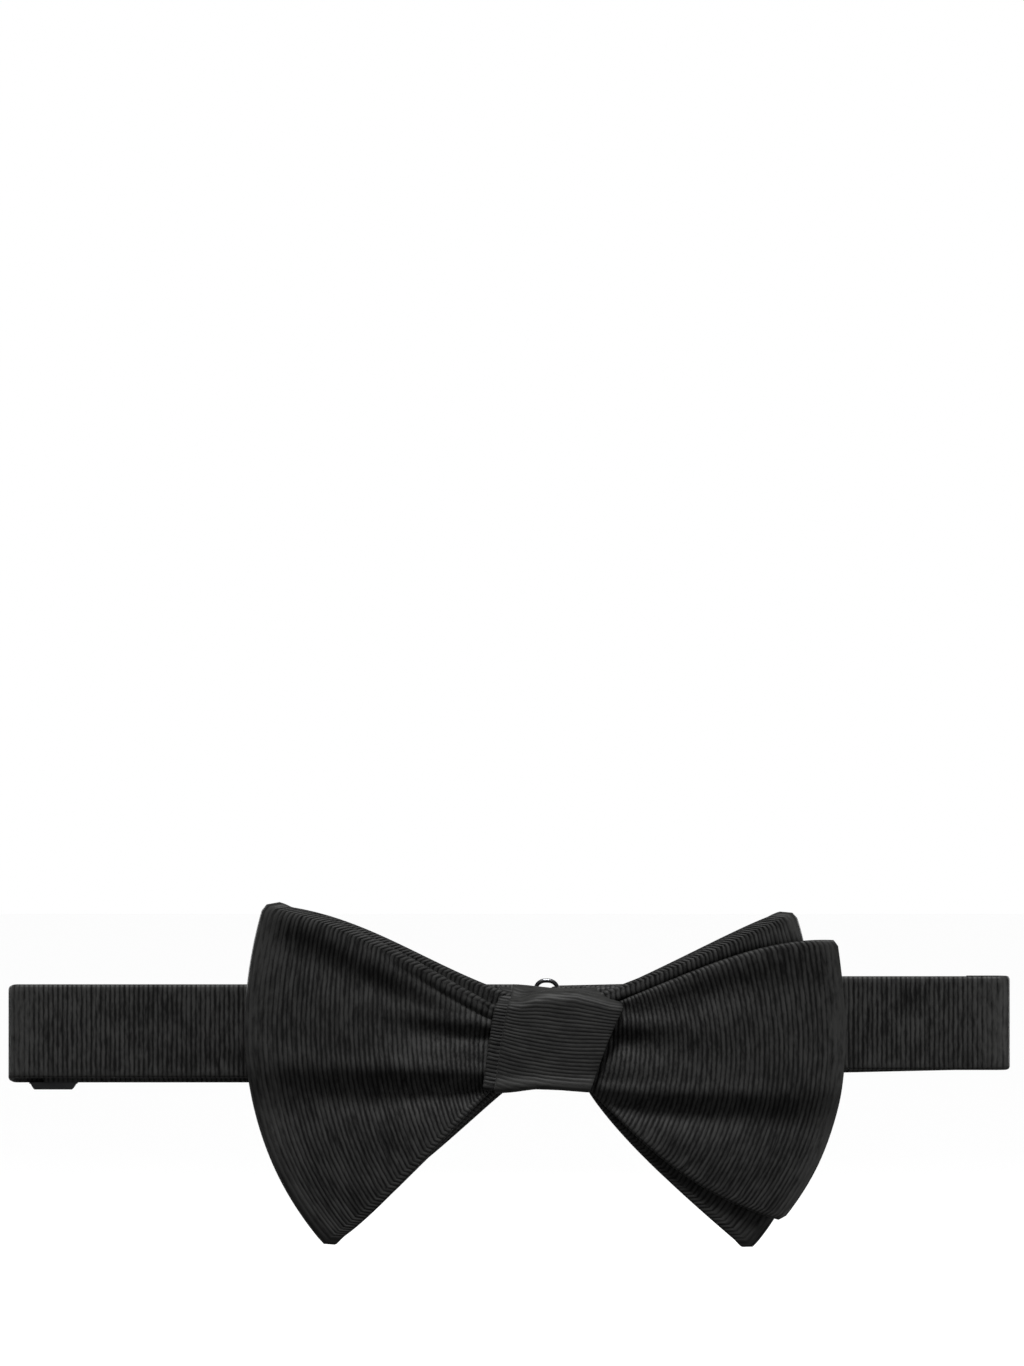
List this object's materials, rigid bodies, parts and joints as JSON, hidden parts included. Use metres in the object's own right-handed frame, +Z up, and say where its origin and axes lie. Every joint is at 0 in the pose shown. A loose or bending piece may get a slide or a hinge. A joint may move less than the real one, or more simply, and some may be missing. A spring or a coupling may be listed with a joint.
{
  "type": "bow tie",
  "caption": "Ready-tied grosgrain bow tie with a loop and a flat end in each wing, on an adjustable neckband folded flat behind it.",
  "frame": {"origin": "on the neck side of the front band run, behind the knot, where the tie bears on the collar", "axes": "+X to the viewer's right along the band, +Y from the bow towards the neck, +Z up as worn"},
  "size_m": [0.2105, 0.0175, 0.0733],
  "materials": {
    "silk": "ribbed grosgrain with a low sheen",
    "interlining": "matte woven",
    "thread": "twisted",
    "nickel": "polished dark nickel",
    "slider": "satin"
  },
  "bodies": {
    "bow": {"front_bow_face_ply": "silk", "front_bow_interlining": "interlining", "front_bow_back_ply": "silk", "rear_bow_face_ply": "silk", "rear_bow_interlining": "interlining", "rear_bow_back_ply": "silk", "knot_wrap": "silk", "knot_padding": "interlining", "waist_thread": "thread", "knot_back_tack": "thread", "band_front_shell": "silk", "band_front_interlining": "interlining", "band_left_fold": "silk", "band_right_fold": "silk"},
    "left_arm": {"left_strap_shell": "silk", "left_strap_interlining": "interlining"},
    "hook_end": {"strap_return": "silk"},
    "slider": {"slider_frame": "slider", "strap_end_tack": "thread"},
    "hook": {"hook": "nickel"},
    "right_arm": {"right_strap_shell": "silk", "right_strap_interlining": "interlining", "ring_tab": "silk", "ring_tab_tack": "thread"},
    "ring": {"eye_ring": "nickel"}
  },
  "joints": [
    {"name": "left_fold", "type": "hinge", "parent": "bow", "child": "left_arm", "pos_m": [-0.11188, 0.00172, 0], "axis": [0, 0, 1], "range_deg": [0, 170], "deforming": ["band_left_fold"]},
    {"name": "right_fold", "type": "hinge", "parent": "bow", "child": "right_arm", "pos_m": [0.09258, 0.00172, 0], "axis": [0, 0, -1], "range_deg": [0, 170], "deforming": ["band_right_fold"]},
    {"name": "hook_travel", "type": "slide", "parent": "left_arm", "child": "hook_end", "axis": [1, 0, 0], "range_m": [0, 0.024], "deforming": ["strap_return"]},
    {"name": "slider_travel", "type": "slide", "parent": "hook_end", "child": "slider", "axis": [1, 0, 0], "range_m": [0, 0.024]},
    {"name": "hook_pivot", "type": "hinge", "parent": "hook_end", "child": "hook", "pos_m": [-0.05, 0.0025, 0], "axis": [0, 0, 1], "range_deg": [0, 110]},
    {"name": "ring_pivot", "type": "hinge", "parent": "right_arm", "child": "ring", "pos_m": [0.00065, 0.003, 0], "axis": [0, 0, -1], "range_deg": [0, 120]}
  ],
  "couplings": [
    {"joint": "slider_travel", "follows": "hook_travel", "ratio": 1}
  ]
}
